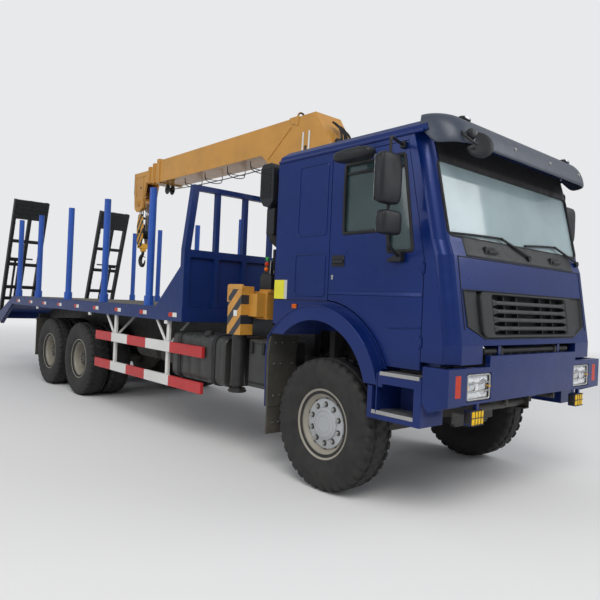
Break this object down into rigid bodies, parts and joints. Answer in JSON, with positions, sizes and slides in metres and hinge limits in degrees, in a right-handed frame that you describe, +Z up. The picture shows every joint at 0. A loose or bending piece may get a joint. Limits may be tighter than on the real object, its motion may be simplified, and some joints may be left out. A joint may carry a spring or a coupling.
{
  "type": "mobile crane",
  "caption": "Truck-mounted mobile crane: tilting cab, flat deck with stake posts, folding loading ramps, outriggers and a slewing telescopic boom with a hanging hook.",
  "frame": {"origin": "on the ground under the middle of the bounding box", "axes": "+Z up, -Y towards the front of the truck, -X towards the truck's right side"},
  "size_m": [3.118, 11.216, 3.902],
  "materials": {
    "cab_blue": "gloss",
    "deck_blue": "gloss",
    "post_blue": "gloss",
    "charcoal": "matte",
    "frame_grey": "satin",
    "ramp_black": "satin",
    "crane_yellow": "gloss",
    "boom_steel": "satin",
    "rod_chrome": "polished",
    "tyre": "matte",
    "rim_grey": "satin",
    "tank_grey": "satin",
    "lamp": "gloss",
    "screen": "clear",
    "seat": "matte",
    "dash": "matte",
    "guard_white": "gloss",
    "engine_iron": "rough"
  },
  "bodies": {
    "chassis": {"frame": "frame_grey", "bumper": "cab_blue", "headlamps": "lamp", "front_axle": "frame_grey", "rear_bogie": "frame_grey", "engine": "engine_iron", "cab_steps": "cab_blue", "mudguards": "charcoal", "fuel_tank": "tank_grey", "side_boxes": "tank_grey", "side_guards": "guard_white", "deck_frame": "frame_grey", "deck": "deck_blue", "headboard": "deck_blue", "stake_posts": "post_blue", "crane_base": "crane_yellow"},
    "cab": {"cab_tub": "cab_blue", "cab_side_right": "cab_blue", "cab_side_left": "cab_blue", "cab_front": "cab_blue", "cab_roof": "cab_blue", "grille": "charcoal", "visor": "charcoal", "windscreen": "screen", "seats": "seat", "dashboard": "dash", "intake": "charcoal"},
    "door_right": {"door_right": "cab_blue", "mirrors_right": "charcoal"},
    "door_left": {"door_left": "cab_blue", "mirrors_left": "charcoal"},
    "knuckle_right": {"knuckle_right": "frame_grey"},
    "knuckle_left": {"knuckle_left": "frame_grey"},
    "tie_rod": {"tie_rod": "frame_grey"},
    "ramp_right": {"ramp_right": "ramp_black"},
    "ramp_left": {"ramp_left": "ramp_black"},
    "crane_column": {"crane_column": "crane_yellow"},
    "luff_barrel": {"luff_barrel": "crane_yellow"},
    "luff_rod": {"luff_rod": "rod_chrome"},
    "boom_base": {"boom_base": "crane_yellow"},
    "boom_section_2": {"boom_section_2": "boom_steel"},
    "boom_section_3": {"boom_section_3": "boom_steel"},
    "boom_tip": {"boom_tip": "crane_yellow"},
    "hook_block": {"hook_block": "crane_yellow"},
    "front_wheel_right": {"front_wheel_right": "rim_grey", "front_tyre_right": "tyre"},
    "outrigger_beam_right": {"outrigger_beam_right": "crane_yellow"},
    "jack_leg_right": {"jack_leg_right": "rod_chrome"},
    "rear_wheel_1_right": {"rear_wheel_1_right": "rim_grey", "rear_tyres_1_right": "tyre"},
    "rear_wheel_2_right": {"rear_wheel_2_right": "rim_grey", "rear_tyres_2_right": "tyre"},
    "front_wheel_left": {"front_wheel_left": "rim_grey", "front_tyre_left": "tyre"},
    "outrigger_beam_left": {"outrigger_beam_left": "crane_yellow"},
    "jack_leg_left": {"jack_leg_left": "rod_chrome"},
    "rear_wheel_1_left": {"rear_wheel_1_left": "rim_grey", "rear_tyres_1_left": "tyre"},
    "rear_wheel_2_left": {"rear_wheel_2_left": "rim_grey", "rear_tyres_2_left": "tyre"}
  },
  "joints": [
    {"name": "cab_tilt", "type": "hinge", "parent": "chassis", "child": "cab", "pos_m": [0, -5.51802, 1.285], "axis": [1, 0, 0], "range_deg": [0, 50]},
    {"name": "door_right", "type": "hinge", "parent": "cab", "child": "door_right", "pos_m": [-1.149, -5.29052, 2], "axis": [0, 0, 1], "range_deg": [0, 65]},
    {"name": "door_left", "type": "hinge", "parent": "cab", "child": "door_left", "pos_m": [1.149, -5.29052, 2], "axis": [0, 0, -1], "range_deg": [0, 65]},
    {"name": "steer_right", "type": "hinge", "parent": "chassis", "child": "knuckle_right", "pos_m": [-0.9, -4.33802, 0.5425], "axis": [0, 0, 1], "range_deg": [-35, 35]},
    {"name": "steer_left", "type": "hinge", "parent": "chassis", "child": "knuckle_left", "pos_m": [0.9, -4.33802, 0.5425], "axis": [0, 0, 1], "range_deg": [-35, 35]},
    {"name": "tie_rod_turn", "type": "hinge", "parent": "knuckle_right", "child": "tie_rod", "pos_m": [-0.9, -4.13802, 0.3965], "axis": [0, 0, 1], "range_deg": [-35, 35]},
    {"name": "front_wheel_right", "type": "hinge", "parent": "knuckle_right", "child": "front_wheel_right", "pos_m": [-1.075, -4.33802, 0.5625], "axis": [1, 0, 0], "continuous": true},
    {"name": "rear_wheel_1_right", "type": "hinge", "parent": "chassis", "child": "rear_wheel_1_right", "pos_m": [-0.883, 1.16198, 0.5625], "axis": [1, 0, 0], "continuous": true},
    {"name": "rear_wheel_2_right", "type": "hinge", "parent": "chassis", "child": "rear_wheel_2_right", "pos_m": [-0.883, 2.49198, 0.5625], "axis": [1, 0, 0], "continuous": true},
    {"name": "ramp_right", "type": "hinge", "parent": "chassis", "child": "ramp_right", "pos_m": [-0.8865, 5.56698, 1.04], "axis": [-1, 0, 0], "range_deg": [0, 131.5]},
    {"name": "outrigger_right", "type": "slide", "parent": "chassis", "child": "outrigger_beam_right", "axis": [-1, 0, 0], "range_m": [0, 1]},
    {"name": "jack_right", "type": "slide", "parent": "outrigger_beam_right", "child": "jack_leg_right", "axis": [0, 0, -1], "range_m": [0, 0.645]},
    {"name": "front_wheel_left", "type": "hinge", "parent": "knuckle_left", "child": "front_wheel_left", "pos_m": [1.075, -4.33802, 0.5625], "axis": [1, 0, 0], "continuous": true},
    {"name": "rear_wheel_1_left", "type": "hinge", "parent": "chassis", "child": "rear_wheel_1_left", "pos_m": [0.883, 1.16198, 0.5625], "axis": [1, 0, 0], "continuous": true},
    {"name": "rear_wheel_2_left", "type": "hinge", "parent": "chassis", "child": "rear_wheel_2_left", "pos_m": [0.883, 2.49198, 0.5625], "axis": [1, 0, 0], "continuous": true},
    {"name": "ramp_left", "type": "hinge", "parent": "chassis", "child": "ramp_left", "pos_m": [0.8865, 5.56698, 1.04], "axis": [-1, 0, 0], "range_deg": [0, 131.5]},
    {"name": "outrigger_left", "type": "slide", "parent": "chassis", "child": "outrigger_beam_left", "axis": [1, 0, 0], "range_m": [0, 1]},
    {"name": "jack_left", "type": "slide", "parent": "outrigger_beam_left", "child": "jack_leg_left", "axis": [0, 0, -1], "range_m": [0, 0.645]},
    {"name": "slew", "type": "hinge", "parent": "chassis", "child": "crane_column", "pos_m": [0, -2.78802, 1.8], "axis": [0, 0, 1], "continuous": true},
    {"name": "luff", "type": "hinge", "parent": "crane_column", "child": "boom_base", "pos_m": [0, -3.05802, 3.25], "axis": [1, 0, 0], "range_deg": [0, 75]},
    {"name": "lift_cylinder", "type": "hinge", "parent": "crane_column", "child": "luff_barrel", "pos_m": [0, -2.48802, 2], "axis": [1, 0, 0], "range_deg": [-1, 18]},
    {"name": "lift_rod", "type": "slide", "parent": "luff_barrel", "child": "luff_rod", "axis": [0, 0.1658, 0.9862], "range_m": [0, 0.834]},
    {"name": "telescope_2", "type": "slide", "parent": "boom_base", "child": "boom_section_2", "axis": [0, 1, 0], "range_m": [0, 2.2]},
    {"name": "telescope_3", "type": "slide", "parent": "boom_section_2", "child": "boom_section_3", "axis": [0, 1, 0], "range_m": [0, 2.2]},
    {"name": "telescope_tip", "type": "slide", "parent": "boom_section_3", "child": "boom_tip", "axis": [0, 1, 0], "range_m": [0, 2.2]},
    {"name": "hook_hang", "type": "hinge", "parent": "boom_tip", "child": "hook_block", "pos_m": [0, 1.53198, 3.17], "axis": [1, 0, 0], "range_deg": [-75, 0]}
  ],
  "couplings": [
    {"joint": "steer_left", "follows": "steer_right", "ratio": 1},
    {"joint": "tie_rod_turn", "follows": "steer_right", "ratio": -1},
    {"joint": "lift_cylinder", "follows": "luff", "ratio": 0.2274},
    {"joint": "lift_rod", "follows": "luff", "m_per_rad": 0.6295},
    {"joint": "telescope_3", "follows": "telescope_2", "ratio": 1},
    {"joint": "telescope_tip", "follows": "telescope_2", "ratio": 1},
    {"joint": "hook_hang", "follows": "luff", "ratio": -1}
  ]
}
